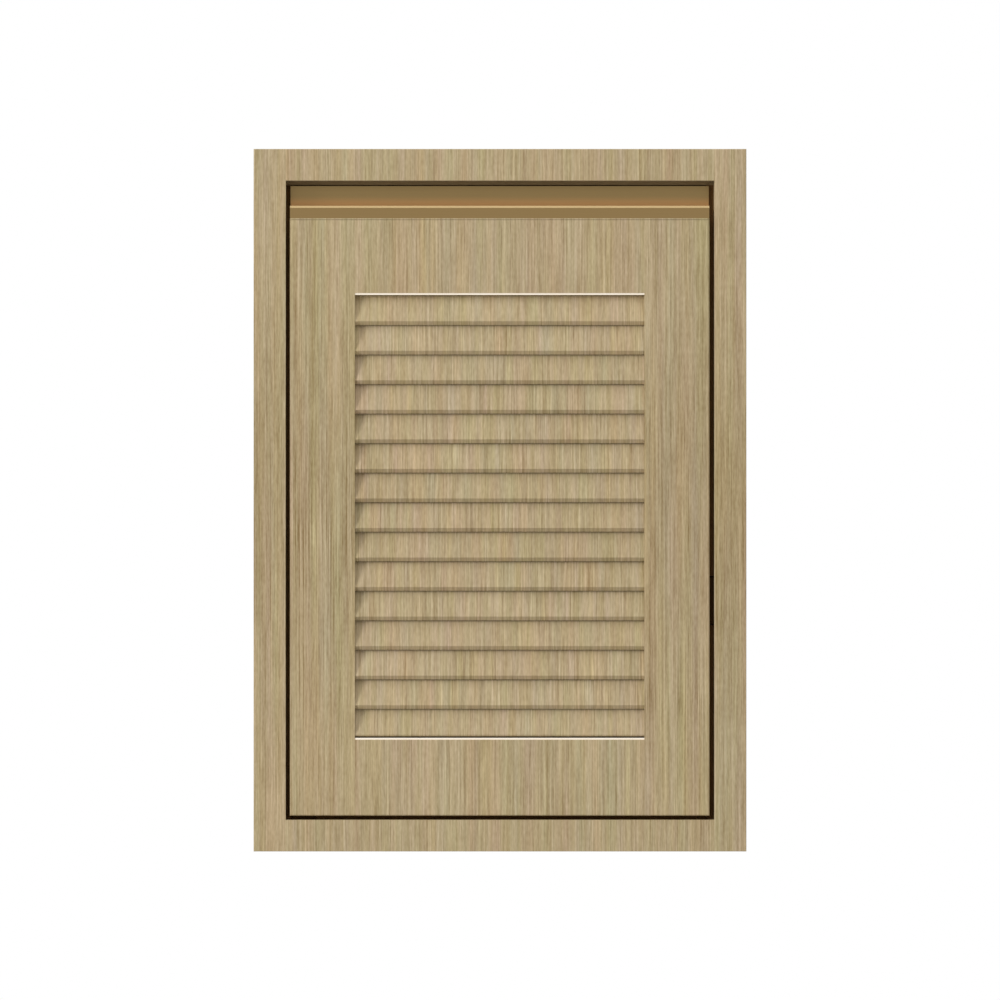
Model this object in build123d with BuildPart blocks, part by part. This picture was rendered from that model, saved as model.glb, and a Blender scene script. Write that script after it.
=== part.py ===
from build123d import *
from math import cos, hypot, radians, sin, tan
import os

# Hanging wall cabinet with a louvred door set inside a face frame.
# Millimetres, +Z up, +Y towards the wall, +X to the right seen from the front.
# The origin is on the wall plane, in the middle of the four wall screws.

# Overall size
cabinet_width = 470.0
cabinet_height = 670.0
cabinet_depth = 320.0

# Carcass boards
board = 16.0
back_board = 4.0
back_rebate = 8.0
back_fit = 0.3
rail_upper_height = 80.0
rail_lower_height = 60.0

# Wall screws
wall_hole_radius = 3.0
wall_hole_inset_x = 75.0
wall_hole_inset_z = 70.0

# Face frame
frame_stile_face = 30.6
frame_rail_face = 30.1
frame_thickness = 20.0
frame_round = 0.8
frame_backing_drop = 3.5
frame_backing_depth = 16.0
frame_backing_setback = 5.0

# Stop strips behind the door
stop_clear = 0.5
stop_depth = 15.0
stop_overlap = 3.0
stop_end_gap = 0.6
stop_hinge_clear = 14.0
cover_overlap = 1.5
cover_depth = 4.0

# Door
door_recess = 2.0
door_thickness = 22.0
door_round = 1.5
gap_hinge = 3.75
gap_lock = 4.45
gap_top = 4.5
gap_bottom = 3.9
door_stile_width = 62.2
door_rail_top_height = 71.25
door_rail_bottom_height = 72.5
quirk_drop = 1.2
quirk_height = 0.45
quirk_depth = 1.0

# Louvre slats
slat_count = 15
slat_tilt = 15.0
slat_cut = 45.0
slat_thickness = 5.0
slat_round = 0.6
slat_setback = 0.5
slat_overlap = 1.6
slat_clear_top = 1.25
slat_clear_bottom = 0.65
slat_sill_gap = 1.4
slat_housing = 8.0
slat_end_gap = 0.4
slat_fit = 0.12

# White strips at the ends of the louvre opening
trim_height = 1.8
trim_depth = 3.4
trim_setback = 0.4

# Finger pull along the top of the door
pull_height = 31.45
pull_wall = 2.0
lip_height = 11.95
lip_thickness = 3.0
lip_bevel_height = 2.0
lip_bevel_depth = 1.3
pull_floor = 2.0
pull_cove = 9.0
pull_screw_inset = 7.0
pull_end_gap = 0.3
pull_screw_count = 4
pull_screw_spread = 0.27

# Hinges
hinge_end_distance = 100.0
axis_from_edge = 10.0
axis_from_front = 7.5
hinge_pin_radius = 2.0
hinge_running_fit = 0.05
arm_width = 4.2
arm_height = 16.0
arm_eye_radius = 4.2
arm_straight = 20.0
arm_crank_length = 12.0
arm_leaf_thickness = 3.0
arm_leaf_length = 54.0
cheek_thickness = 2.5
cheek_gap = 0.6
pocket_front = 5.0
pocket_right = 6.8
pocket_fit = 0.1
housing_web = 1.9
housing_flange = 1.5
housing_flange_length = 20.0
hinge_block_depth = 90.0
hinge_block_height = 100.0

# Magnetic catch
catch_height = 46.0
catch_width = 14.0
catch_depth = 26.0
catch_block_depth = 50.0
catch_block_height = 70.0
catch_air_gap = 0.3
strike_thickness = 1.2
strike_width = 13.0
magnet_width = 8.0
magnet_height = 26.0
magnet_depth = 16.0

# Shelf
shelf_front_gap = 35.0
shelf_side_gap = 1.0
shelf_pin_radius = 2.5
shelf_pin_collar = 4.0
shelf_pin_reach = 9.0
shelf_hole_depth = 10.0
shelf_hole_rows = 7
shelf_hole_pitch = 32.0
shelf_column_front = 60.0
shelf_column_back = 50.0
edge_band = 1.0

# Dowels and screws
dowel_radius = 4.0
corner_dowel_radius = 3.0
dowel_length = 30.0
dowel_in_frame = 10.0
dowel_end_gap = 0.5
insert_fit = 0.05
confirmat_radius = 3.0
confirmat_head_radius = 4.8
confirmat_length = 48.0
cap_radius = 6.0
cap_thickness = 1.6
small_screw_radius = 1.5
small_screw_head = 3.0
screw_radius = 2.0
screw_head = 3.8

# Limits that follow from the sizes above
half_width = cabinet_width / 2
half_height = cabinet_height / 2
front_y = -cabinet_depth
frame_back_y = front_y + frame_thickness
inner_x = half_width - board
jamb_x = half_width - frame_stile_face
jamb_z = half_height - frame_rail_face
floor_z = -jamb_z
ceiling_z = half_height - board
panel_back_y = -back_board
rail_front_y = panel_back_y - board

door_left = -jamb_x + gap_hinge
door_right = jamb_x - gap_lock
door_bottom = -jamb_z + gap_bottom
door_top = jamb_z - gap_top
door_front_y = front_y + door_recess
door_back_y = door_front_y + door_thickness
door_mid_y = (door_front_y + door_back_y) / 2
door_body_top = door_top - pull_height
opening_left = door_left + door_stile_width
opening_right = door_right - door_stile_width
opening_top = door_body_top - door_rail_top_height
opening_bottom = door_bottom + door_rail_bottom_height

slat_run = opening_top - opening_bottom - slat_overlap - slat_clear_top - slat_clear_bottom
slat_pitch = slat_run / slat_count
slat_sin = sin(radians(slat_tilt))
slat_cos = cos(radians(slat_tilt))
slat_cut_depth = slat_thickness / (slat_cos + slat_sin * tan(radians(slat_cut)))
slat_cut_drop = slat_cut_depth * tan(radians(slat_cut))
slat_rise = slat_pitch + slat_overlap - slat_cut_drop
slat_floor = opening_bottom + trim_height + slat_sill_gap

axis_x = door_left + axis_from_edge
axis_y = door_front_y + axis_from_front
hinge_heights = (door_bottom + hinge_end_distance, door_body_top - hinge_end_distance)
hinge_names = ("lower", "upper")
block_face_x = -jamb_x
leaf_face_x = block_face_x + arm_leaf_thickness
pocket_half = arm_height / 2 + cheek_gap + cheek_thickness + pocket_fit

wall_hole_x = half_width - wall_hole_inset_x
wall_hole_z = half_height - wall_hole_inset_z
wall_holes = []
for hole_x in (-wall_hole_x, wall_hole_x):
    for hole_z in (-wall_hole_z, wall_hole_z):
        wall_holes.append((hole_x, 0.0, hole_z))

right = (1, 0, 0)
left = (-1, 0, 0)
back = (0, 1, 0)
front = (0, -1, 0)
up = (0, 0, 1)
inward = (Align.CENTER, Align.CENTER, Align.MAX)
outward = (Align.CENTER, Align.CENTER, Align.MIN)
downward = (Align.CENTER, Align.MAX)

pieces = []


def keep(part, label):
    """Names a finished piece and keeps it for export."""
    part.label = label
    pieces.append(part)


def block(x, y, z, mode=Mode.ADD):
    """Adds or cuts a block between pairs of limits in the piece being built."""
    centre = (sum(x) / 2, sum(y) / 2, sum(z) / 2)
    with Locations(centre):
        Box(abs(x[1] - x[0]), abs(y[1] - y[0]), abs(z[1] - z[0]), mode=mode)


def places(points, direction):
    """Planes on the given points, facing out of the material."""
    return [Plane(origin=point, z_dir=direction) for point in points]


def drill(points, direction, radius, depth):
    """Drills round holes inward from points whose faces look along direction."""
    with Locations(*places(points, direction)):
        Cylinder(radius, depth, align=inward, mode=Mode.SUBTRACT)


def sink(points, direction, radius, head, depth):
    """Drills countersunk screw holes with clearance for a screw of that size."""
    with Locations(*places(points, direction)):
        CounterSinkHole(radius + insert_fit, head + insert_fit, depth + 1.0, counter_sink_angle=90)


def screws(points, direction, radius, head, length, label):
    """Countersunk screws with a cross recess, heads flush with their points."""
    with BuildPart() as group:
        with Locations(*places(points, direction)):
            Cylinder(radius, length, align=inward)
            Cone(radius, head, head - radius, align=inward)
            Box(head * 1.1, head * 0.22, radius * 0.6, align=inward, mode=Mode.SUBTRACT)
            Box(head * 0.22, head * 1.1, radius * 0.6, align=inward, mode=Mode.SUBTRACT)
    keep(group.part, label)


def dowels(points, direction, radius, below, above, label):
    """Plain dowels through points, reaching below and above them along direction."""
    with BuildPart() as group:
        with Locations(*places(points, direction)):
            Cylinder(radius, below - dowel_end_gap, align=inward)
            Cylinder(radius, above - dowel_end_gap, align=outward)
    keep(group.part, label)


# Where the dowels and the screws go
corner_points_left = []
corner_points_right = []
for rail_z in (-1, 1):
    for step in (-0.22, 0.22):
        z_here = rail_z * (half_height - frame_rail_face / 2) + step * frame_rail_face
        corner_points_left.append((-jamb_x, front_y + frame_thickness / 2, z_here))
        corner_points_right.append((jamb_x, front_y + frame_thickness / 2, z_here))

side_mid_x = half_width - board / 2
side_dowel_heights = (-0.375 * cabinet_height, 0.0, 0.375 * cabinet_height)
frame_points_left = [(-side_mid_x, frame_back_y, z) for z in side_dowel_heights]
frame_points_right = [(side_mid_x, frame_back_y, z) for z in side_dowel_heights]
panel_dowel_x = 0.26 * cabinet_width
frame_points_top = [(x, frame_back_y, half_height - board / 2) for x in (-panel_dowel_x, panel_dowel_x)]
frame_points_bottom = [(x, frame_back_y, floor_z - board / 2) for x in (-panel_dowel_x, panel_dowel_x)]

rail_mid_y = (rail_front_y + panel_back_y) / 2
rail_upper_mid = ceiling_z - rail_upper_height / 2
rail_lower_mid = floor_z + rail_lower_height / 2
rail_steps = (-0.25, 0.25)
rail_heights_upper = [rail_upper_mid + step * rail_upper_height for step in rail_steps]
rail_heights_lower = [rail_lower_mid + step * rail_lower_height for step in rail_steps]
rail_points_left = [(-inner_x, rail_mid_y, z) for z in rail_heights_upper + rail_heights_lower]
rail_points_right = [(inner_x, rail_mid_y, z) for z in rail_heights_upper + rail_heights_lower]

confirmat_depths = (0.2 * frame_back_y, 0.77 * frame_back_y)
confirmat_heights = (floor_z - board / 2, half_height - board / 2)
confirmat_left = []
confirmat_right = []
for y_here in confirmat_depths:
    for z_here in confirmat_heights:
        confirmat_left.append((-half_width + cap_thickness, y_here, z_here))
        confirmat_right.append((half_width - cap_thickness, y_here, z_here))

back_screw_x = inner_x + back_rebate / 2
back_points_left = [(-back_screw_x, 0.0, step * cabinet_height) for step in (-0.3, 0.0, 0.3)]
back_points_right = [(back_screw_x, 0.0, step * cabinet_height) for step in (-0.3, 0.0, 0.3)]
back_points_top = [(x, 0.0, half_height - board / 2) for x in (-panel_dowel_x, panel_dowel_x)]
back_points_bottom = [(x, 0.0, floor_z - board / 2) for x in (-panel_dowel_x, panel_dowel_x)]
back_points = back_points_left + back_points_right + back_points_top + back_points_bottom
back_screw_length = 20.0

shelf_hole_span = shelf_hole_pitch * (shelf_hole_rows - 1)
shelf_columns = (frame_back_y + shelf_column_front, -shelf_column_back)
shelf_holes_left = []
shelf_holes_right = []
for y_here in shelf_columns:
    for row in range(shelf_hole_rows):
        z_here = row * shelf_hole_pitch - shelf_hole_span / 2
        shelf_holes_left.append((-inner_x, y_here, z_here))
        shelf_holes_right.append((inner_x, y_here, z_here))
shelf_row_z = (shelf_hole_rows // 2) * shelf_hole_pitch - shelf_hole_span / 2
shelf_bottom_z = shelf_row_z + shelf_pin_radius


def side(sign, label):
    """One carcass side with its rebate, shelf holes, dowel holes and screw holes."""
    inner_face = -sign
    toward_inside = (inner_face, 0, 0)
    toward_outside = (sign, 0, 0)
    shelf_holes = shelf_holes_right if sign > 0 else shelf_holes_left
    frame_points = frame_points_right if sign > 0 else frame_points_left
    rail_points = rail_points_right if sign > 0 else rail_points_left
    confirmats = confirmat_right if sign > 0 else confirmat_left
    back_screws = back_points_right if sign > 0 else back_points_left
    caps = [(sign * half_width, point[1], point[2]) for point in confirmats]
    with BuildPart() as panel:
        block((sign * inner_x, sign * half_width), (frame_back_y, 0), (-half_height, half_height))
        rebate_z = (floor_z - board - back_fit, half_height)
        rebate_x = (sign * inner_x, sign * (inner_x + back_rebate))
        block(rebate_x, (panel_back_y, 0), rebate_z, Mode.SUBTRACT)
        drill(shelf_holes, toward_inside, shelf_pin_radius + insert_fit, shelf_hole_depth)
        drill(frame_points, front, dowel_radius + insert_fit, dowel_length - dowel_in_frame)
        drill(rail_points, toward_inside, dowel_radius + insert_fit, dowel_in_frame)
        drill(caps, toward_outside, cap_radius + insert_fit, cap_thickness)
        sink(confirmats, toward_outside, confirmat_radius, confirmat_head_radius, confirmat_length)
        sink(back_screws, back, small_screw_radius, small_screw_head, back_screw_length)
    keep(panel.part, label)


side(-1, "side_left")
side(1, "side_right")

with BuildPart() as top_panel:
    block((-inner_x, inner_x), (frame_back_y, panel_back_y), (ceiling_z, half_height))
    drill(frame_points_top, front, dowel_radius + insert_fit, dowel_length - dowel_in_frame)
    sink(confirmat_left, left, confirmat_radius, confirmat_head_radius, confirmat_length)
    sink(confirmat_right, right, confirmat_radius, confirmat_head_radius, confirmat_length)
    sink(back_points_top, back, small_screw_radius, small_screw_head, back_screw_length)
keep(top_panel.part, "top_panel")

with BuildPart() as bottom_panel:
    block((-inner_x, inner_x), (frame_back_y, panel_back_y), (floor_z - board, floor_z))
    drill(frame_points_bottom, front, dowel_radius + insert_fit, dowel_length - dowel_in_frame)
    sink(confirmat_left, left, confirmat_radius, confirmat_head_radius, confirmat_length)
    sink(confirmat_right, right, confirmat_radius, confirmat_head_radius, confirmat_length)
    sink(back_points_bottom, back, small_screw_radius, small_screw_head, back_screw_length)
keep(bottom_panel.part, "bottom_panel")

with BuildPart() as back_panel:
    back_half = inner_x + back_rebate - back_fit
    block((-back_half, back_half), (panel_back_y, 0), (floor_z - board, half_height))
    drill(wall_holes, back, wall_hole_radius, back_board)
    sink(back_points, back, small_screw_radius, small_screw_head, back_screw_length)
keep(back_panel.part, "back_panel")


def hanging_rail(z_limits, heights, label):
    """One rail behind which the wall screws pull the cabinet to the wall."""
    ends_left = [point for point in rail_points_left if point[2] in heights]
    ends_right = [point for point in rail_points_right if point[2] in heights]
    with BuildPart() as rail:
        block((-inner_x, inner_x), (rail_front_y, panel_back_y), z_limits)
        drill(wall_holes, back, wall_hole_radius, back_board + board)
        drill(ends_left, left, dowel_radius + insert_fit, dowel_length - dowel_in_frame)
        drill(ends_right, right, dowel_radius + insert_fit, dowel_length - dowel_in_frame)
    keep(rail.part, label)


hanging_rail((ceiling_z - rail_upper_height, ceiling_z), rail_heights_upper, "hanging_rail_upper")
hanging_rail((floor_z, floor_z + rail_lower_height), rail_heights_lower, "hanging_rail_lower")

# Shelf, its edge strip and its pins
shelf_front_y = frame_back_y + shelf_front_gap
shelf_half = inner_x - shelf_side_gap
shelf_z = (shelf_bottom_z, shelf_bottom_z + board)

with BuildPart() as shelf:
    block((-shelf_half, shelf_half), (shelf_front_y + edge_band, panel_back_y - shelf_side_gap), shelf_z)
keep(shelf.part, "shelf")

with BuildPart() as shelf_edge_band:
    block((-shelf_half, shelf_half), (shelf_front_y, shelf_front_y + edge_band), shelf_z)
keep(shelf_edge_band.part, "shelf_edge_band")

with BuildPart() as shelf_pins:
    for sign in (-1, 1):
        pin_points = [(sign * inner_x, y_here, shelf_row_z) for y_here in shelf_columns]
        with Locations(*places(pin_points, (-sign, 0, 0))):
            Cylinder(shelf_pin_radius, shelf_hole_depth - dowel_end_gap, align=inward)
            Cylinder(shelf_pin_radius, shelf_pin_reach, align=outward)
            Cylinder(shelf_pin_collar, edge_band * 0.8, align=outward)
    block((-inner_x, inner_x), (frame_back_y, 0), (shelf_bottom_z, shelf_bottom_z + board), Mode.SUBTRACT)
keep(shelf_pins.part, "shelf_pins")


def frame_stile(sign, label):
    """One upright of the face frame."""
    corner_points = corner_points_right if sign > 0 else corner_points_left
    frame_points = frame_points_right if sign > 0 else frame_points_left
    with BuildPart() as stile:
        block((sign * jamb_x, sign * half_width), (front_y, frame_back_y), (-half_height, half_height))
        front_edges = stile.faces().sort_by(Axis.Y)[0].edges()
        inner_edge = front_edges.sort_by(Axis.X)[0 if sign > 0 else -1]
        fillet([edge for edge in front_edges if edge is not inner_edge], frame_round)
        drill(corner_points, (-sign, 0, 0), corner_dowel_radius + insert_fit, dowel_length / 2)
        drill(frame_points, back, dowel_radius + insert_fit, dowel_in_frame)
    keep(stile.part, label)


def frame_rail(sign, panel_points, label):
    """One cross member of the face frame."""
    with BuildPart() as rail:
        block((-jamb_x, jamb_x), (front_y, frame_back_y), (sign * jamb_z, sign * half_height))
        front_edges = rail.faces().sort_by(Axis.Y)[0].edges().sort_by(Axis.Z)
        fillet(front_edges[-1 if sign > 0 else 0], frame_round)
        drill(corner_points_left, left, corner_dowel_radius + insert_fit, dowel_length / 2)
        drill(corner_points_right, right, corner_dowel_radius + insert_fit, dowel_length / 2)
        drill(panel_points, back, dowel_radius + insert_fit, dowel_in_frame)
    keep(rail.part, label)


frame_stile(-1, "frame_stile_left")
frame_stile(1, "frame_stile_right")
frame_rail(1, frame_points_top, "frame_rail_top")
frame_rail(-1, frame_points_bottom, "frame_rail_bottom")

# Strip behind the top of the frame, which shows as a dim band in the gap above the pull
with BuildPart() as frame_backing:
    backing_front_y = frame_back_y + frame_backing_setback
    backing_z = (jamb_z - frame_backing_drop, ceiling_z)
    block((-inner_x, inner_x), (backing_front_y, backing_front_y + frame_backing_depth), backing_z)
keep(frame_backing.part, "frame_backing_top")

# Hidden fasteners of the carcass and of the face frame
corner_reach = dowel_length / 2
corner_points = corner_points_left + corner_points_right
dowels(corner_points, right, corner_dowel_radius, corner_reach, corner_reach, "frame_corner_dowels")
panel_reach = dowel_length - dowel_in_frame
panel_points = frame_points_left + frame_points_right + frame_points_top + frame_points_bottom
panel_places = places(panel_points, front)
panel_places += places(rail_points_left, left)
panel_places += places(rail_points_right, right)

with BuildPart() as carcass_dowels:
    with Locations(*panel_places):
        Cylinder(dowel_radius, panel_reach - dowel_end_gap, align=inward)
        Cylinder(dowel_radius, dowel_in_frame - dowel_end_gap, align=outward)
keep(carcass_dowels.part, "carcass_dowels")

confirmat_head_height = confirmat_head_radius - confirmat_radius
with BuildPart() as carcass_screws:
    for sign in (-1, 1):
        points = confirmat_right if sign > 0 else confirmat_left
        with Locations(*places(points, (sign, 0, 0))):
            Cylinder(confirmat_radius, confirmat_length, align=inward)
            Cone(confirmat_radius, confirmat_head_radius, confirmat_head_height, align=inward)
keep(carcass_screws.part, "carcass_screws")

with BuildPart() as screw_caps:
    for sign in (-1, 1):
        points = confirmat_right if sign > 0 else confirmat_left
        outer_points = [(sign * half_width, point[1], point[2]) for point in points]
        with Locations(*places(outer_points, (sign, 0, 0))):
            Cylinder(cap_radius, cap_thickness, align=inward)
keep(screw_caps.part, "screw_caps")

screws(back_points, back, small_screw_radius, small_screw_head, back_screw_length, "back_panel_screws")

# Fixed half of the hinges
leaf_start_y = axis_y + arm_straight + arm_crank_length
leaf_end_y = leaf_start_y + arm_leaf_length
arm_screw_points = []
for z_here in hinge_heights:
    arm_screw_points.append((leaf_face_x, leaf_start_y + 0.3 * arm_leaf_length, z_here))
    arm_screw_points.append((leaf_face_x, leaf_start_y + 0.8 * arm_leaf_length, z_here))
arm_screw_length = 15.0


def hinge_block(height, label):
    """Packing block that brings the arm out to the edge of the face frame."""
    block_z = (height - hinge_block_height / 2, height + hinge_block_height / 2)
    with BuildPart() as packing:
        block((-inner_x, block_face_x), (frame_back_y, frame_back_y + hinge_block_depth), block_z)
        sink(arm_screw_points, right, screw_radius, screw_head, arm_screw_length)
    keep(packing.part, label)


def hinge_arm(height, label):
    """Cranked steel arm with the eye that the door turns on."""
    half_arm = arm_width / 2
    crank_y = axis_y + arm_straight
    with BuildPart() as arm:
        with BuildSketch(Plane.XY.offset(height - arm_height / 2)):
            with Locations((axis_x, axis_y)):
                Circle(arm_eye_radius)
            with BuildLine():
                Polyline(
                    (axis_x - half_arm, axis_y),
                    (axis_x + half_arm, axis_y),
                    (axis_x + half_arm, crank_y + half_arm),
                    (leaf_face_x, leaf_start_y + half_arm),
                    (leaf_face_x, leaf_end_y),
                    (block_face_x, leaf_end_y),
                    (block_face_x, leaf_start_y - half_arm),
                    (axis_x - half_arm, crank_y - half_arm),
                    close=True,
                )
            make_face()
        extrude(amount=arm_height)
        eye_mouth = (axis_x, axis_y, height + arm_height / 2)
        drill([eye_mouth], up, hinge_pin_radius + hinge_running_fit, arm_height)
        sink(arm_screw_points, right, screw_radius, screw_head, arm_screw_length)
    keep(arm.part, label)


for name, height in zip(hinge_names, hinge_heights):
    hinge_block(height, "hinge_block_" + name)
    hinge_arm(height, "hinge_arm_" + name)
screws(arm_screw_points, right, screw_radius, screw_head, arm_screw_length, "hinge_arm_screws")

# Magnetic catch on the closing side, below the shelf
catch_front_y = door_back_y + strike_thickness + catch_air_gap
catch_back_y = catch_front_y + catch_depth
catch_inner_x = jamb_x - catch_width
magnet_inner_x = catch_inner_x + 1.0
catch_mid_y = (catch_front_y + catch_back_y) / 2
catch_height_z = shelf_row_z - shelf_hole_span / 2
catch_screw_length = 25.0
catch_screw_points = []
for step in (-0.4, 0.4):
    catch_screw_points.append((catch_inner_x, catch_mid_y, catch_height_z + step * catch_height))
magnet_limits = (catch_height_z - magnet_height / 2, catch_height_z + magnet_height / 2)

with BuildPart() as catch_block:
    block_z = (catch_height_z - catch_block_height / 2, catch_height_z + catch_block_height / 2)
    block((jamb_x, inner_x), (frame_back_y, frame_back_y + catch_block_depth), block_z)
    sink(catch_screw_points, left, small_screw_radius, small_screw_head, catch_screw_length)
keep(catch_block.part, "catch_block")

with BuildPart() as catch_body:
    body_z = (catch_height_z - catch_height / 2, catch_height_z + catch_height / 2)
    block((catch_inner_x, jamb_x), (catch_front_y, catch_back_y), body_z)
    fillet(catch_body.edges().filter_by(Axis.X), 2.0)
    magnet_x = (magnet_inner_x, magnet_inner_x + magnet_width)
    block(magnet_x, (catch_front_y, catch_front_y + magnet_depth), magnet_limits, Mode.SUBTRACT)
    sink(catch_screw_points, left, small_screw_radius, small_screw_head, catch_screw_length)
keep(catch_body.part, "catch_body")

with BuildPart() as catch_magnet:
    magnet_x = (magnet_inner_x + insert_fit, magnet_inner_x + magnet_width - insert_fit)
    magnet_y = (catch_front_y, catch_front_y + magnet_depth - insert_fit)
    block(magnet_x, magnet_y, (magnet_limits[0] + insert_fit, magnet_limits[1] - insert_fit))
keep(catch_magnet.part, "catch_magnet")

screws(catch_screw_points, left, small_screw_radius, small_screw_head, catch_screw_length, "catch_screws")

# Stop strips behind the closing edge and the lower edge of the door, parted at the catch.
# Thin cover strip on the hinge side, in front of the arms' cranks and behind the door's back corner.
stop_front_y = door_back_y + stop_clear
stop_back_y = stop_front_y + stop_depth
stop_y = (stop_front_y, stop_back_y)
stop_x = (door_right - stop_overlap, inner_x)
stop_tongue_x = (stop_x[0], jamb_x)
stop_top = jamb_z - frame_backing_drop
stop_low = catch_height_z - catch_block_height / 2
stop_high = catch_height_z + catch_block_height / 2
tongue_low = catch_height_z - catch_height / 2 - stop_end_gap
tongue_high = catch_height_z + catch_height / 2 + stop_end_gap
stop_floor_x = (axis_x + stop_hinge_clear, stop_x[0] - stop_end_gap)
stop_floor_z = (floor_z, door_bottom + stop_overlap)

sweep_radius = hypot(axis_from_edge, door_back_y - axis_y)
cover_x = (-jamb_x, door_left + cover_overlap)
cover_front_y = axis_y + sweep_radius + stop_clear
cover_y = (cover_front_y, cover_front_y + cover_depth)
cover_corner_x = (cover_x[1] + stop_end_gap, stop_floor_x[0] - stop_end_gap)

with BuildPart() as frame_stops:
    block(stop_x, stop_y, (floor_z, stop_low))
    block(stop_tongue_x, stop_y, (stop_low, tongue_low))
    block(stop_x, stop_y, (stop_high, stop_top))
    block(stop_tongue_x, stop_y, (tongue_high, stop_high))
    block(stop_floor_x, stop_y, stop_floor_z)
    block(cover_corner_x, cover_y, stop_floor_z)
    block(cover_x, cover_y, (floor_z, stop_top))
keep(frame_stops.part, "frame_stop_strips")

# Steel strike plate on the back of the door
strike_right = door_right - 1.0
strike_x = (strike_right - strike_width, strike_right)
strike_z = (catch_height_z - catch_height / 2, catch_height_z + catch_height / 2)
strike_mid_x = sum(strike_x) / 2
strike_points = []
for step in (-0.38, 0.38):
    z_here = catch_height_z + step * catch_height
    strike_points.append((strike_mid_x, door_back_y + strike_thickness, z_here))
strike_screw_length = 14.0
strike_head = 2.4
strike_screw_radius = 1.4

# Dowels of the door and screws of the hinge housings and of the pull
door_rail_top_mid = door_body_top - door_rail_top_height / 2
door_rail_bottom_mid = door_bottom + door_rail_bottom_height / 2
door_dowel_heights = []
for step in (-0.27, 0.27):
    door_dowel_heights.append(door_rail_top_mid + step * door_rail_top_height)
    door_dowel_heights.append(door_rail_bottom_mid + step * door_rail_bottom_height)
door_points_left = [(opening_left, door_mid_y, z) for z in door_dowel_heights]
door_points_right = [(opening_right, door_mid_y, z) for z in door_dowel_heights]

flange_back_y = door_back_y + housing_flange
flange_left_x = axis_x + pocket_right - pocket_fit - housing_web
flange_right_x = flange_left_x + housing_web + housing_flange_length
housing_points = []
for z_here in hinge_heights:
    for step in (0.42, 0.82):
        x_here = flange_left_x + step * (flange_right_x - flange_left_x)
        housing_points.append((x_here, flange_back_y, z_here))
housing_screw_length = 15.0

pull_mid_x = (opening_left + opening_right) / 2
pull_screw_step = pull_screw_spread * (opening_right - opening_left)
pull_points = []
for index in range(pull_screw_count):
    x_here = pull_mid_x + (index - (pull_screw_count - 1) / 2) * pull_screw_step
    pull_points.append((x_here, door_front_y + pull_screw_inset, door_body_top + pull_floor))
pull_screw_length = 28.0
quirk_y = (door_front_y, door_front_y + quirk_depth)
quirk_z = (door_body_top - quirk_drop - quirk_height, door_body_top - quirk_drop)


def slat_edge(index):
    """Height of the lower front arris of a slat, counted from the top."""
    return opening_top - slat_clear_top - slat_rise - index * slat_pitch


def slat_section(x_start, index, grow):
    """Section of one slat, its lower end cut slantwise and clear of the sill, grown for its groove."""
    arris_y = door_front_y + slat_setback
    arris_z = slat_edge(index)
    top_y = arris_y + slat_rise * slat_sin / slat_cos
    top_z = arris_z + slat_rise
    with BuildSketch(Plane.YZ.offset(x_start)) as section:
        with BuildLine():
            Polyline(
                (arris_y, arris_z),
                (top_y, top_z),
                (top_y + slat_thickness * slat_cos, top_z - slat_thickness * slat_sin),
                (arris_y + slat_cut_depth, arris_z - slat_cut_drop),
                close=True,
            )
        make_face()
        fillet(section.vertices(), slat_round)
        with Locations((door_mid_y, slat_floor)):
            Rectangle(door_thickness, slat_pitch, align=downward, mode=Mode.SUBTRACT)
        if grow > 0:
            offset(amount=grow, mode=Mode.REPLACE)
    return section.sketch


def door_stile(sign, label):
    """One upright of the door with its slat grooves and, on the left, the hinge pockets."""
    outer_x = door_right if sign > 0 else door_left
    inner_edge = opening_right if sign > 0 else opening_left
    groove_start = inner_edge if sign > 0 else inner_edge - slat_housing
    dowel_points = door_points_right if sign > 0 else door_points_left
    with BuildPart() as stile:
        block((outer_x, inner_edge), (door_front_y, door_back_y), (door_bottom, door_body_top))
        front_edges = stile.faces().sort_by(Axis.Y)[0].edges()
        outer_edge = front_edges.sort_by(Axis.X)[-1 if sign > 0 else 0]
        lower_edge = front_edges.sort_by(Axis.Z)[0]
        fillet([outer_edge, lower_edge], door_round)
        block((outer_x, inner_edge), quirk_y, quirk_z, Mode.SUBTRACT)
        for index in range(slat_count):
            extrude(slat_section(groove_start, index, slat_fit), amount=slat_housing, mode=Mode.SUBTRACT)
        drill(dowel_points, (-sign, 0, 0), dowel_radius + insert_fit, dowel_length / 2)
        if sign < 0:
            for height in hinge_heights:
                pocket_x = (door_left, axis_x + pocket_right)
                pocket_y = (axis_y - pocket_front, door_back_y)
                block(pocket_x, pocket_y, (height - pocket_half, height + pocket_half), Mode.SUBTRACT)
            sink(housing_points, back, small_screw_radius, small_screw_head, housing_screw_length)
        else:
            sink(strike_points, back, strike_screw_radius, strike_head, strike_screw_length)
    keep(stile.part, label)


def door_rail(z_limits, round_lower, label):
    """One cross member of the door."""
    with BuildPart() as rail:
        block((opening_left, opening_right), (door_front_y, door_back_y), z_limits)
        front_edges = rail.faces().sort_by(Axis.Y)[0].edges().filter_by(Axis.X).sort_by(Axis.Z)
        if round_lower:
            fillet(front_edges[0], door_round)
        block((opening_left, opening_right), quirk_y, quirk_z, Mode.SUBTRACT)
        drill(door_points_left, left, dowel_radius + insert_fit, dowel_length / 2)
        drill(door_points_right, right, dowel_radius + insert_fit, dowel_length / 2)
        sink(pull_points, up, small_screw_radius, small_screw_head, pull_screw_length)
    keep(rail.part, label)


door_stile(-1, "door_stile_left")
door_stile(1, "door_stile_right")
door_rail((opening_top, door_body_top), False, "door_rail_top")
door_rail((door_bottom, opening_bottom), True, "door_rail_bottom")
door_reach = dowel_length / 2
dowels(door_points_left + door_points_right, right, dowel_radius, door_reach, door_reach, "door_dowels")

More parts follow.
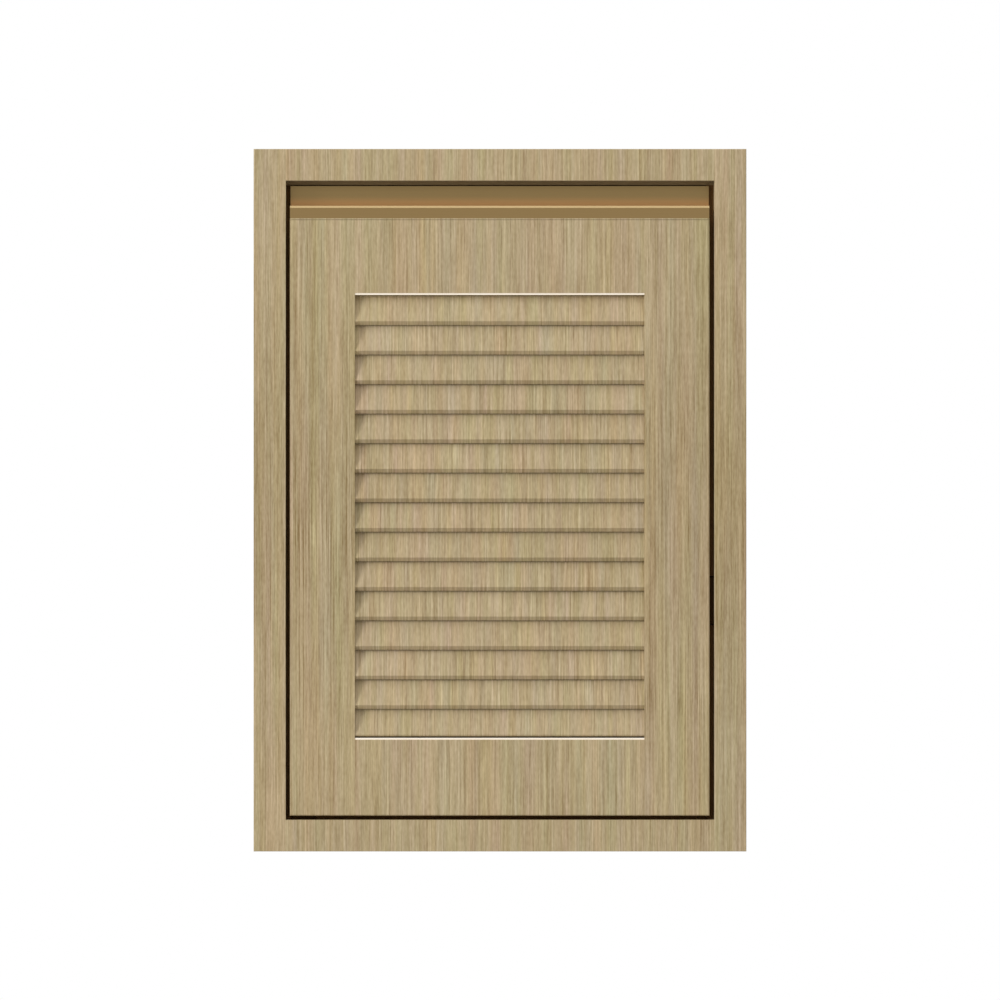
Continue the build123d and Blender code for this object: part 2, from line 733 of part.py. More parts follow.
slat_start = opening_left - slat_housing + slat_end_gap
slat_length = opening_right - opening_left + 2 * (slat_housing - slat_end_gap)
for index in range(slat_count):
    with BuildPart() as louvre_slat:
        extrude(slat_section(slat_start, index, 0.0), amount=slat_length)
    keep(louvre_slat.part, "louvre_slat_" + str(index + 1).zfill(2))


def louvre_trim(z_limits, label):
    """White strip along one end of the louvre opening."""
    trim_y = (door_front_y + trim_setback, door_front_y + trim_setback + trim_depth)
    with BuildPart() as trim:
        block((opening_left, opening_right), trim_y, z_limits)
    keep(trim.part, label)


louvre_trim((opening_top - trim_height, opening_top), "louvre_trim_top")
louvre_trim((opening_bottom, opening_bottom + trim_height), "louvre_trim_bottom")

with BuildPart() as finger_pull:
    wall_y = door_back_y - pull_wall
    recess_floor = door_body_top + pull_floor
    lip_top = door_body_top + lip_height
    with BuildSketch(Plane.YZ.offset(door_left + pull_end_gap)):
        with BuildLine():
            Polyline(
                (wall_y, recess_floor + pull_cove),
                (wall_y, door_top),
                (door_back_y, door_top),
                (door_back_y, door_body_top),
                (door_front_y, door_body_top),
                (door_front_y, lip_top - lip_bevel_height),
                (door_front_y + lip_bevel_depth, lip_top),
                (door_front_y + lip_thickness, lip_top),
                (door_front_y + lip_thickness, recess_floor),
                (wall_y - pull_cove, recess_floor),
            )
            RadiusArc((wall_y - pull_cove, recess_floor), (wall_y, recess_floor + pull_cove), -pull_cove)
        make_face()
    extrude(amount=door_right - door_left - 2 * pull_end_gap)
    sink(pull_points, up, small_screw_radius, small_screw_head, pull_screw_length)
keep(finger_pull.part, "finger_pull")
screws(pull_points, up, small_screw_radius, small_screw_head, pull_screw_length, "finger_pull_screws")


def hinge_housing(height, label):
    """Clevis let into the door, with a flange on the back of the stile."""
    inner_half = arm_height / 2 + cheek_gap
    outer_half = inner_half + cheek_thickness
    web_right = axis_x + pocket_right - pocket_fit
    cheek_left = axis_x - arm_eye_radius
    cheek_front = axis_y - pocket_front + pocket_fit
    with BuildPart() as housing:
        outer_z = (height - outer_half, height + outer_half)
        inner_z = (height - inner_half, height + inner_half)
        block((cheek_left, web_right), (cheek_front, flange_back_y), outer_z)
        cheek_edges = housing.edges().filter_by(Axis.Z).group_by(Axis.X)[0]
        fillet(cheek_edges, arm_eye_radius * 0.9)
        slot_x = (cheek_left, web_right - housing_web)
        block(slot_x, (cheek_front, flange_back_y), inner_z, Mode.SUBTRACT)
        flange_x = (flange_left_x, flange_right_x)
        block(flange_x, (door_back_y, flange_back_y), outer_z)
        drill([(axis_x, axis_y, height + outer_half)], up, hinge_pin_radius, 2 * outer_half)
        sink(housing_points, back, small_screw_radius, small_screw_head, housing_screw_length)
    keep(housing.part, label)


for name, height in zip(hinge_names, hinge_heights):
    hinge_housing(height, "hinge_housing_" + name)

with BuildPart() as hinge_pins:
    pin_length = arm_height + 2 * (cheek_gap + cheek_thickness)
    with Locations(*[(axis_x, axis_y, height) for height in hinge_heights]):
        Cylinder(hinge_pin_radius, pin_length)
keep(hinge_pins.part, "hinge_pins")
housing_head = small_screw_head
screws(housing_points, back, small_screw_radius, housing_head, housing_screw_length, "hinge_housing_screws")

with BuildPart() as strike_plate:
    block(strike_x, (door_back_y, door_back_y + strike_thickness), strike_z)
    fillet(strike_plate.edges().filter_by(Axis.Y), 2.0)
    sink(strike_points, back, strike_screw_radius, strike_head, strike_screw_length)
keep(strike_plate.part, "strike_plate")
screws(strike_points, back, strike_screw_radius, strike_head, strike_screw_length, "strike_screws")

os.makedirs("parts", exist_ok=True)
for piece in pieces:
    export_step(piece, "parts/" + piece.label + ".step")
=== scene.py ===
"""Dresses the hanging wall cabinet: oak decor boards, louvred door, bronze pull and hardware."""

import logging
from dataclasses import dataclass, replace
from enum import Enum
from math import radians

import bpy
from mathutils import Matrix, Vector


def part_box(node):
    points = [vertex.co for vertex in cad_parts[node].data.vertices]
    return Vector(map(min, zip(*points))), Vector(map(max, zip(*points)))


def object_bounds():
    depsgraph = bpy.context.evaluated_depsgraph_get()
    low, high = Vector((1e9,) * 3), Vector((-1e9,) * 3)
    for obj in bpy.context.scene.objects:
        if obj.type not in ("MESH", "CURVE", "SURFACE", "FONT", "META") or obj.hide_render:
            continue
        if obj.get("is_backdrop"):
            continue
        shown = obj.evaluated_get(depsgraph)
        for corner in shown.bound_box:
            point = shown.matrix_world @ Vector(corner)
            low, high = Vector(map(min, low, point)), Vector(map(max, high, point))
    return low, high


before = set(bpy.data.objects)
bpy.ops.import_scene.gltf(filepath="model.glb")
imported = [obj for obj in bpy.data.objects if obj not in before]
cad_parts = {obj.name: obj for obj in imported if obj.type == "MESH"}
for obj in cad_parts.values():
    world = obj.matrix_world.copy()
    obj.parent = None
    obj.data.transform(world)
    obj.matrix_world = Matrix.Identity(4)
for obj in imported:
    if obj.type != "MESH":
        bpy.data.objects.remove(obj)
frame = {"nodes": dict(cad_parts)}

log = logging.getLogger("wall_cabinet")

Colour = tuple[float, float, float, float]
Triple = tuple[float, float, float]
Nodes = dict[str, bpy.types.Object]
Tree = bpy.types.NodeTree
Socket = bpy.types.NodeSocket

MM = 0.001

# Sockets of a colour mix: the share, the two colours and the result.
SHARE = 0
FIRST = 6
SECOND = 7
MIXED = 2

# The middle of a noise, a tone or a share, all of which run from 0 to 1.
MIDDLE = 0.5

# How strongly a finish shows its relief, whose depth is a real size.
RELIEF_STRENGTH = 0.3

# How light the print of the slats is, from 0, dark, to 1, set lighter than the boards' as painted
# light on their upward-tilted faces, and how much painted shade darkens it half-way up.
SLAT_PAINTED_LIGHT_TONE = 0.58
SLAT_MIDWAY_PAINTED_SHADE = 0.07


class Grain(Enum):
    """The way the printed grain runs on a board."""

    UPRIGHT = "z"
    ACROSS = "x"


def to_linear(code: str) -> Colour:
    """Turns an sRGB hex colour into linear light.

    Args:
        code: Six hex digits, with or without a leading hash.

    Returns:
        Red, green, blue and an alpha of 1, linear.
    """
    digits = code.lstrip("#")
    parts = [int(digits[place:place + 2], 16) / 255.0 for place in (0, 2, 4)]
    red, green, blue = (
        value / 12.92 if value <= 0.04045 else ((value + 0.055) / 1.055) ** 2.4 for value in parts
    )
    return (red, green, blue, 1.0)


def add_node(
    tree: Tree,
    kind: str,
    inputs: dict[str | int, object] | None = None,
    settings: dict[str, object] | None = None,
) -> bpy.types.Node:
    """Adds one node with its settings, values and links.

    Args:
        tree: The node tree that gets the node.
        kind: The node's type name.
        inputs: Socket name or index to a value, or to the output socket that feeds it.
        settings: Node property name to value.

    Returns:
        The new node.
    """
    node = tree.nodes.new(kind)
    for name, value in (settings or {}).items():
        setattr(node, name, value)
    for key, value in (inputs or {}).items():
        if isinstance(value, Socket):
            tree.links.new(value, node.inputs[key])
        else:
            node.inputs[key].default_value = value
    return node


def new_material(name: str) -> tuple[bpy.types.Material, Tree]:
    """Makes an empty node material.

    Args:
        name: The material's name.

    Returns:
        The material and its cleared node tree.
    """
    material = bpy.data.materials.new(name)
    material.use_nodes = True
    material.node_tree.nodes.clear()
    return material, material.node_tree


def frequencies(sizes_mm: Triple) -> Triple:
    """Turns the sizes of a pattern's features into their frequencies.

    Args:
        sizes_mm: The size of one feature along x, y and z, in millimetres.

    Returns:
        How many features there are to a metre along x, y and z.
    """
    along_x, along_y, along_z = (1.0 / (size * MM) for size in sizes_mm)
    return (along_x, along_y, along_z)


@dataclass(frozen=True)
class Streak:
    """One layer of the printed grain: how wide, how long and how strong its streaks are."""

    width_mm: float
    length_mm: float
    weight: float


@dataclass(frozen=True)
class Wander:
    """How the grain strays sideways: the size of one bend and how far it reaches."""

    width_mm: float
    length_mm: float
    reach_mm: float


@dataclass(frozen=True)
class OakDecor:
    """Oak decor laminate on board: a printed matt paper with long upright grain.

    It gives the eye a khaki tan ground with warmer and yellower bands, and fibres two to five
    millimetres apart that run lighter and darker over a hand's width, with a dull sheen and
    hardly any relief.
    """

    dark: str = "#897350"
    light: str = "#D1BEA1"
    cool: str = "#F4FFFF"
    warm: str = "#FFF9FF"
    grey: str = "#FFFFFF"
    ochre: str = "#FFFFE4"
    tone: float = 0.515
    # Painted shade: how much darker the tone is made half-way up the cabinet, and the height from
    # the middle over which it lightens again.
    midway_painted_shade: float = 0.13
    midway_painted_shade_height_mm: float = 260.0
    row_scatter_mm: float = 400.0
    wander_detail: float = 1.0
    streak_detail: float = 0.0
    roughness: float = 0.6
    specular: float = 0.25
    fibre_relief_mm: float = 0.04
    warm_bands: tuple[Streak, ...] = (Streak(14.0, 260.0, 1.0), Streak(5.0, 180.0, 0.5))
    ochre_bands: tuple[Streak, ...] = (Streak(10.0, 300.0, 1.0), Streak(3.6, 150.0, 0.6))
    wanders: tuple[Wander, ...] = (Wander(22.0, 70.0, 0.6), Wander(7.0, 15.0, 0.1))
    streaks: tuple[Streak, ...] = (
        Streak(1.1, 5.0, 0.34),
        Streak(1.3, 22.0, 0.46),
        Streak(1.3, 70.0, 0.44),
        Streak(1.3, 220.0, 0.48),
        Streak(2.6, 300.0, 0.08),
        Streak(8.0, 500.0, 0.05),
        Streak(30.0, 900.0, 0.12),
    )

    def build(
        self,
        name: str,
        grain: Grain = Grain.UPRIGHT,
        shift_mm: Triple = (0.0, 0.0, 0.0),
        row_pitch_mm: float = 0.0,
    ) -> bpy.types.Material:
        """Makes the laminate for one board or one row of equal boards.

        Args:
            name: The material's name.
            grain: The way the grain runs.
            shift_mm: Moves the print, so that neighbouring boards differ.
            row_pitch_mm: Where over 0, each slat of an upright row gets its own piece of print.

        Returns:
            The material.
        """
        material, tree = new_material(name)
        place = add_node(tree, "ShaderNodeTexCoord").outputs["Object"]
        split = add_node(tree, "ShaderNodeSeparateXYZ", {0: place}).outputs
        tone = self.tone_with_painted_midway_shade(tree, split["Z"])
        if grain is Grain.ACROSS:
            turned = {0: split["Z"], 1: split["Y"], 2: split["X"]}
            place = add_node(tree, "ShaderNodeCombineXYZ", turned).outputs[0]
        offset = tuple(value * MM for value in shift_mm)
        place = add_node(
            tree, "ShaderNodeVectorMath", {0: place, 1: offset}, {"operation": "ADD"}
        ).outputs[0]
        if row_pitch_mm > 0.0:
            place = self.row_shift(tree, place, row_pitch_mm)
        for wander in self.wanders:
            place = self.stray(tree, place, wander)
        for streak in self.streaks:
            tone = self.add_streak(tree, place, streak, tone)
        colour = add_node(
            tree,
            "ShaderNodeMix",
            {SHARE: tone, FIRST: to_linear(self.dark), SECOND: to_linear(self.light)},
            {"data_type": "RGBA"},
        ).outputs[MIXED]
        colour = self.glaze(tree, colour, place, self.warm_bands, (self.cool, self.warm))
        colour = self.glaze(tree, colour, place, self.ochre_bands, (self.grey, self.ochre))
        bump = add_node(
            tree,
            "ShaderNodeBump",
            {"Height": tone, "Strength": RELIEF_STRENGTH, "Distance": self.fibre_relief_mm * MM},
        ).outputs[0]
        surface = add_node(
            tree,
            "ShaderNodeBsdfPrincipled",
            {
                "Base Color": colour,
                "Roughness": self.roughness,
                "Specular IOR Level": self.specular,
                "Normal": bump,
            },
        ).outputs[0]
        add_node(tree, "ShaderNodeOutputMaterial", {"Surface": surface})
        return material

    def tone_with_painted_midway_shade(self, tree: Tree, height: Socket) -> Socket:
        """Gives the average tone, with painted shade that makes it a little darker half-way up the
        cabinet than at its ends.

        Args:
            tree: The material's node tree.
            height: The height above the middle of the cabinet, in metres.

        Returns:
            The average tone at that height.
        """
        away = add_node(tree, "ShaderNodeMath", {0: height}, {"operation": "ABSOLUTE"}).outputs[0]
        return add_node(
            tree,
            "ShaderNodeMapRange",
            {
                "Value": away,
                "From Max": self.midway_painted_shade_height_mm * MM,
                "To Min": self.tone - self.midway_painted_shade,
                "To Max": self.tone,
            },
            {"interpolation_type": "SMOOTHSTEP"},
        ).outputs[0]

    def row_shift(self, tree: Tree, place: Socket, pitch_mm: float) -> Socket:
        """Gives each slat of a row its own piece of the print, laid flat on its sloping face.

        Args:
            tree: The material's node tree.
            place: The position to shift.
            pitch_mm: Distance from one slat to the next.

        Returns:
            The shifted position, the same all through the slat's depth.
        """
        height = add_node(tree, "ShaderNodeSeparateXYZ", {0: place}).outputs["Z"]
        count = add_node(
            tree, "ShaderNodeMath", {0: height, 1: pitch_mm * MM}, {"operation": "DIVIDE"}
        ).outputs[0]
        row = add_node(tree, "ShaderNodeMath", {0: count}, {"operation": "FLOOR"}).outputs[0]
        scatter = add_node(
            tree, "ShaderNodeTexWhiteNoise", {"W": row}, {"noise_dimensions": "1D"}
        ).outputs["Color"]
        flat = add_node(
            tree, "ShaderNodeVectorMath", {0: place, 1: (1.0, 0.0, 1.0)}, {"operation": "MULTIPLY"}
        ).outputs[0]
        return add_node(
            tree,
            "ShaderNodeVectorMath",
            {0: scatter, 1: (self.row_scatter_mm * MM,) * 3, 2: flat},
            {"operation": "MULTIPLY_ADD"},
        ).outputs[0]

    def stray(self, tree: Tree, place: Socket, wander: Wander) -> Socket:
        """Lets the streaks wander sideways a little, as grain does.

        Args:
            tree: The material's node tree.
            place: The position to bend.
            wander: The size and the reach of the bends.

        Returns:
            The bent position.
        """
        scale = frequencies((wander.width_mm, wander.width_mm, wander.length_mm))
        slow = add_node(
            tree, "ShaderNodeVectorMath", {0: place, 1: scale}, {"operation": "MULTIPLY"}
        ).outputs[0]
        drift = add_node(
            tree, "ShaderNodeTexNoise", {"Vector": slow, "Scale": 1.0, "Detail": self.wander_detail}
        ).outputs["Color"]
        drift = add_node(
            tree, "ShaderNodeVectorMath", {0: drift, 1: (MIDDLE,) * 3}, {"operation": "SUBTRACT"}
        ).outputs[0]
        reach = wander.reach_mm * MM / MIDDLE
        return add_node(
            tree,
            "ShaderNodeVectorMath",
            {0: drift, 1: (reach, reach, 0.0), 2: place},
            {"operation": "MULTIPLY_ADD"},
        ).outputs[0]

    def add_streak(self, tree: Tree, place: Socket, streak: Streak, below: Socket | float) -> Socket:
        """Adds one layer of streaks to a tone between 0 and 1.

        Args:
            tree: The material's node tree.
            place: The position in the print.
            streak: The layer.
            below: The tone so far, or its average for the first layer.

        Returns:
            The new tone.
        """
        scale = frequencies((streak.width_mm, streak.width_mm, streak.length_mm))
        fine = add_node(
            tree, "ShaderNodeVectorMath", {0: place, 1: scale}, {"operation": "MULTIPLY"}
        ).outputs[0]
        noise = add_node(
            tree, "ShaderNodeTexNoise", {"Vector": fine, "Scale": 1.0, "Detail": self.streak_detail}
        ).outputs[0]
        swing = add_node(
            tree,
            "ShaderNodeMapRange",
            {"Value": noise, "To Min": -streak.weight / 2, "To Max": streak.weight / 2},
            {"clamp": False},
        ).outputs[0]
        return add_node(
            tree, "ShaderNodeMath", {0: below, 1: swing}, {"operation": "ADD"}
        ).outputs[0]

    def glaze(
        self,
        tree: Tree,
        colour: Socket,
        place: Socket,
        bands: tuple[Streak, ...],
        ends: tuple[str, str],
    ) -> Socket:
        """Lays long bands of a thin second colour over the print.

        Args:
            tree: The material's node tree.
            colour: The colour so far.
            place: The position in the print.
            bands: The layers of bands.
            ends: The two colours that the bands run between.

        Returns:
            The glazed colour.
        """
        share = MIDDLE
        for band in bands:
            share = self.add_streak(tree, place, band, share)
        film = add_node(
            tree,
            "ShaderNodeMix",
            {SHARE: share, FIRST: to_linear(ends[0]), SECOND: to_linear(ends[1])},
            {"data_type": "RGBA"},
        ).outputs[MIXED]
        return add_node(
            tree,
            "ShaderNodeMix",
            {SHARE: 1.0, FIRST: colour, SECOND: film},
            {"data_type": "RGBA", "blend_type": "MULTIPLY"},
        ).outputs[MIXED]


@dataclass(frozen=True)
class PlainFinish:
    """A finish of one colour with a fine mottle of a second one over it."""

    name: str
    colour: str
    mottle: str
    mottle_mm: Triple
    roughness: float
    metallic: float = 0.0
    relief_mm: float = 0.01
    specular: float = 0.5
    mottle_start: float = 0.35
    mottle_full: float = 0.7
    mottle_detail: float = 3.0
    roughness_swing: float = 0.06

    def build(self) -> bpy.types.Material:
        """Makes the material, with a mottle whose size is given in millimetres.

        Returns:
            The material.
        """
        material, tree = new_material(self.name)
        place = add_node(tree, "ShaderNodeTexCoord").outputs["Object"]
        place = add_node(
            tree,
            "ShaderNodeVectorMath",
            {0: place, 1: frequencies(self.mottle_mm)},
            {"operation": "MULTIPLY"},
        ).outputs[0]
        noise = add_node(
            tree, "ShaderNodeTexNoise", {"Vector": place, "Scale": 1.0, "Detail": self.mottle_detail}
        ).outputs[0]
        share = add_node(
            tree,
            "ShaderNodeMapRange",
            {"Value": noise, "From Min": self.mottle_start, "From Max": self.mottle_full},
        ).outputs[0]
        colour = add_node(
            tree,
            "ShaderNodeMix",
            {SHARE: share, FIRST: to_linear(self.colour), SECOND: to_linear(self.mottle)},
            {"data_type": "RGBA"},
        ).outputs[MIXED]
        dull = add_node(
            tree,
            "ShaderNodeMapRange",
            {
                "Value": noise,
                "To Min": self.roughness - self.roughness_swing,
                "To Max": self.roughness + self.roughness_swing,
            },
        ).outputs[0]
        bump = add_node(
            tree,
            "ShaderNodeBump",
            {"Height": noise, "Strength": RELIEF_STRENGTH, "Distance": self.relief_mm * MM},
        ).outputs[0]
        surface = add_node(
            tree,
            "ShaderNodeBsdfPrincipled",
            {
                "Base Color": colour,
                "Metallic": self.metallic,
                "Roughness": dull,
                "Specular IOR Level": self.specular,
                "Normal": bump,
            },
        ).outputs[0]
        add_node(tree, "ShaderNodeOutputMaterial", {"Surface": surface})
        return material


@dataclass(frozen=True)
class AnodisedPull:
    """Anodised aluminium, extruded and satin brushed along its length.

    It gives the eye an olive bronze lip with a paler band machined bright along its top, its colour
    a painted highlight, and a recess in a slightly lighter copy of the bronze, as painted light,
    which looks dark bronze at the top and turns to a painted warm copper bounce light at the bottom.
    Real brush lines are about
    0.1 mm wide; they are drawn five times as wide, so that they show.
    """

    lip: str = "#88714B"
    # Painted highlight: the paler colour of the band along the top of the lip.
    painted_highlight: str = "#937F5C"
    # Painted light: the recess has its own copy of the bronze, a little lighter than the lip's.
    recess: str = "#8A744D"
    # Painted light: a warm copper bounce light in the lower part of the recess.
    glow: str = "#B08555"
    # Height of the painted highlight band below the top of the lip.
    painted_highlight_height_mm: float = 2.0
    brush_mm: Triple = (60.0, 0.5, 0.5)
    brush_detail: float = 2.0
    brush_contrast: float = 0.05
    roughness: float = 0.42
    relief_mm: float = 0.004

    def build(
        self, lip_back: float, wall: float, glow_low: float, glow_high: float
    ) -> bpy.types.Material:
        """Makes the material.

        Args:
            lip_back: Depth of the back of the lip, in metres.
            wall: Depth of the middle of the wall behind the recess, in metres.
            glow_low: Height of the top of the lip, where the painted bounce light in the recess is
                strongest and the painted highlight band ends, in metres.
            glow_high: Height from which the recess is plain bronze, without painted bounce light, in
                metres.

        Returns:
            The material.
        """
        material, tree = new_material("anodised_aluminium_bronze")
        place = add_node(tree, "ShaderNodeTexCoord").outputs["Object"]
        split = add_node(tree, "ShaderNodeSeparateXYZ", {0: place}).outputs
        # Painted bounce light: the recess turns warm copper towards the top of the lip.
        painted_light_share = add_node(
            tree,
            "ShaderNodeMapRange",
            {"Value": split["Z"], "From Min": glow_high, "From Max": glow_low},
            {"interpolation_type": "SMOOTHSTEP"},
        ).outputs[0]
        recess = add_node(
            tree,
            "ShaderNodeMix",
            {SHARE: painted_light_share, FIRST: to_linear(self.recess), SECOND: to_linear(self.glow)},
            {"data_type": "RGBA"},
        ).outputs[MIXED]
        # Painted highlight: a paler band just below the top of the lip.
        highlight_band = add_node(
            tree,
            "ShaderNodeMath",
            {0: split["Z"], 1: glow_low - self.painted_highlight_height_mm * MM},
            {"operation": "GREATER_THAN"},
        ).outputs[0]
        lip = add_node(
            tree,
            "ShaderNodeMix",
            {SHARE: highlight_band, FIRST: to_linear(self.lip), SECOND: to_linear(self.painted_highlight)},
            {"data_type": "RGBA"},
        ).outputs[MIXED]
        inside = add_node(
            tree,
            "ShaderNodeMath",
            {0: split["Y"], 1: (lip_back + wall) / 2, 2: (wall - lip_back) / 2},
            {"operation": "COMPARE"},
        ).outputs[0]
        colour = add_node(
            tree,
            "ShaderNodeMix",
            {SHARE: inside, FIRST: lip, SECOND: recess},
            {"data_type": "RGBA"},
        ).outputs[MIXED]
        along = add_node(
            tree,
            "ShaderNodeVectorMath",
            {0: place, 1: frequencies(self.brush_mm)},
            {"operation": "MULTIPLY"},
        ).outputs[0]
        brush = add_node(
            tree, "ShaderNodeTexNoise", {"Vector": along, "Scale": 1.0, "Detail": self.brush_detail}
        ).outputs[0]
        level = add_node(
            tree,
            "ShaderNodeMapRange",
            {
                "Value": brush,
                "To Min": 1.0 - self.brush_contrast,
                "To Max": 1.0 + self.brush_contrast,
            },
        ).outputs[0]
        colour = add_node(
            tree, "ShaderNodeVectorMath", {0: colour, "Scale": level}, {"operation": "SCALE"}
        ).outputs[0]
        bump = add_node(
            tree,
            "ShaderNodeBump",
            {"Height": brush, "Strength": RELIEF_STRENGTH, "Distance": self.relief_mm * MM},
        ).outputs[0]
        surface = add_node(
            tree,
            "ShaderNodeBsdfPrincipled",
            {"Base Color": colour, "Metallic": 1.0, "Roughness": self.roughness, "Normal": bump},
        ).outputs[0]
        add_node(tree, "ShaderNodeOutputMaterial", {"Surface": surface})
        return material


# Extruded white PVC strip: cream white with a slight silk sheen.
WHITE_STRIP = PlainFinish(
    "pvc_white_strip", "#FFF3E0", "#FFF7E8", mottle_mm=(30.0, 2.0, 2.0), roughness=0.45
)
# Nickel plated steel, pressed and barrel polished: grey metal with a soft grain.
NICKEL_STEEL = PlainFinish(
    "nickel_plated_steel",
    "#B4B4B0",
    "#C4C3BE",
    mottle_mm=(3.0, 3.0, 3.0),
    roughness=0.3,
    metallic=1.0,
)
# Zinc plated screws, passivated: a slightly bluish, patchy grey metal.
ZINC_STEEL = PlainFinish(
    "zinc_plated_steel",
    "#A6AAAC",
    "#BDBFBC",
    mottle_mm=(1.5, 1.5, 1.5),
    roughness=0.36,
    metallic=1.0,
)
# Beech dowel, turned and fluted: pale orange wood with short flecks.
BEECH = PlainFinish(
    "beech_dowel",
    "#C9A679",
    "#B8925F",
    mottle_mm=(6.0, 0.8, 0.8),
    roughness=0.7,
    relief_mm=0.03,
)
# Moulded beige ABS cap: dull plastic in the colour of the board.
CAP_PLASTIC = PlainFinish(
    "abs_beige_cap", "#AF9D7B", "#B4A281", mottle_mm=(0.8, 0.8, 0.8), roughness=0.5
)
# Beech strip, planed and left bare, coloured darker and browner than the boards as painted shade in
# the gap above the pull.
BACKING_STRIP_PAINTED_SHADE = PlainFinish(
    "beech_backing_strip_painted_shade",
    "#A18860",
    "#AE956C",
    mottle_mm=(6.0, 0.8, 0.8),
    roughness=0.7,
    specular=0.2,
)
# Beech strip, planed and coloured dark warm brown as painted shade, so that the gaps read as dark
# lines.
GAP_SHADE_STRIP = PlainFinish(
    "beech_stop_strip_painted_shade",
    "#73522A",
    "#7F5D32",
    mottle_mm=(0.8, 0.8, 6.0),
    roughness=0.7,
    specular=0.2,
)
# Moulded brown nylon: dark, with a finely spark-eroded skin.
CATCH_PLASTIC = PlainFinish(
    "nylon_brown_catch",
    "#553C1A",
    "#5C421F",
    mottle_mm=(0.6, 0.6, 0.6),
    roughness=0.6,
    specular=0.12,
)
# Sintered ferrite: almost black, dry and grainy.
FERRITE = PlainFinish(
    "ferrite_magnet",
    "#3A3A3C",
    "#484849",
    mottle_mm=(0.7, 0.7, 0.7),
    roughness=0.6,
    relief_mm=0.02,
)
# Thin fibreboard back: paler printed paper with a faint upright figure.
BACK_BOARD = PlainFinish(
    "fibreboard_printed_back", "#BFB08E", "#B3A27E", mottle_mm=(4.0, 4.0, 300.0), roughness=0.66
)


def dress(nodes: Nodes, names: list[str], material: bpy.types.Material) -> None:
    """Puts one material on CAD nodes.

    Args:
        nodes: The frame's nodes by name.
        names: The nodes to dress.
        material: The material they get.
    """
    for name in names:
        slots = nodes[name].data.materials
        if not slots:
            slots.append(material)
        for index in range(len(slots)):
            slots[index] = material
        log.info("dressed %s with %s", name, material.name)


@dataclass
class Carcass:
    """The box behind the face frame, with its shelf, rails, blocks and strips."""

    oak: OakDecor
    side_shift_mm: Triple = (130.0, 41.0, 260.0)
    panel_shift_mm: Triple = (310.0, 17.0, 90.0)

    def finish(self, nodes: Nodes) -> None:
        """Dresses the boards, the blocks, the strips, the back and the screw caps.

        Args:
            nodes: The frame's nodes by name.
        """
        sides = self.oak.build("oak_decor_sides", shift_mm=self.side_shift_mm)
        panels = self.oak.build("oak_decor_panels", Grain.ACROSS, self.panel_shift_mm)
        dress(nodes, ["side_left", "side_right"], sides)
        dress(nodes, ["hinge_block_upper", "hinge_block_lower", "catch_block"], sides)
        # Painted shade: the stop strips behind the gaps are dark brown.
        dress(nodes, ["frame_stop_strips"], GAP_SHADE_STRIP.build())
        # Painted shade: the backing strip in the gap above the pull is darker and browner than the
        # boards.
        dress(nodes, ["frame_backing_top"], BACKING_STRIP_PAINTED_SHADE.build())
        dress(nodes, ["top_panel", "bottom_panel", "shelf", "shelf_edge_band"], panels)
        dress(nodes, ["hanging_rail_upper", "hanging_rail_lower"], panels)
        dress(nodes, ["back_panel"], BACK_BOARD.build())
        dress(nodes, ["screw_caps"], CAP_PLASTIC.build())


@dataclass
class FaceFrame:
    """The flat frame round the door."""

    oak: OakDecor
    left_shift_mm: Triple = (57.0, 0.0, 120.0)
    right_shift_mm: Triple = (-73.0, 0.0, 410.0)

    def finish(self, nodes: Nodes, rails: bpy.types.Material) -> None:
        """Dresses the stiles with their own print and the rails with the door's.

        Args:
            nodes: The frame's nodes by name.
            rails: The print that runs on from the frame's rails to the door's.
        """
        left = self.oak.build("oak_decor_frame_left", shift_mm=self.left_shift_mm)
        right = self.oak.build("oak_decor_frame_right", shift_mm=self.right_shift_mm)
        dress(nodes, ["frame_stile_left"], left)
        dress(nodes, ["frame_stile_right"], right)
        dress(nodes, ["frame_rail_top", "frame_rail_bottom"], rails)


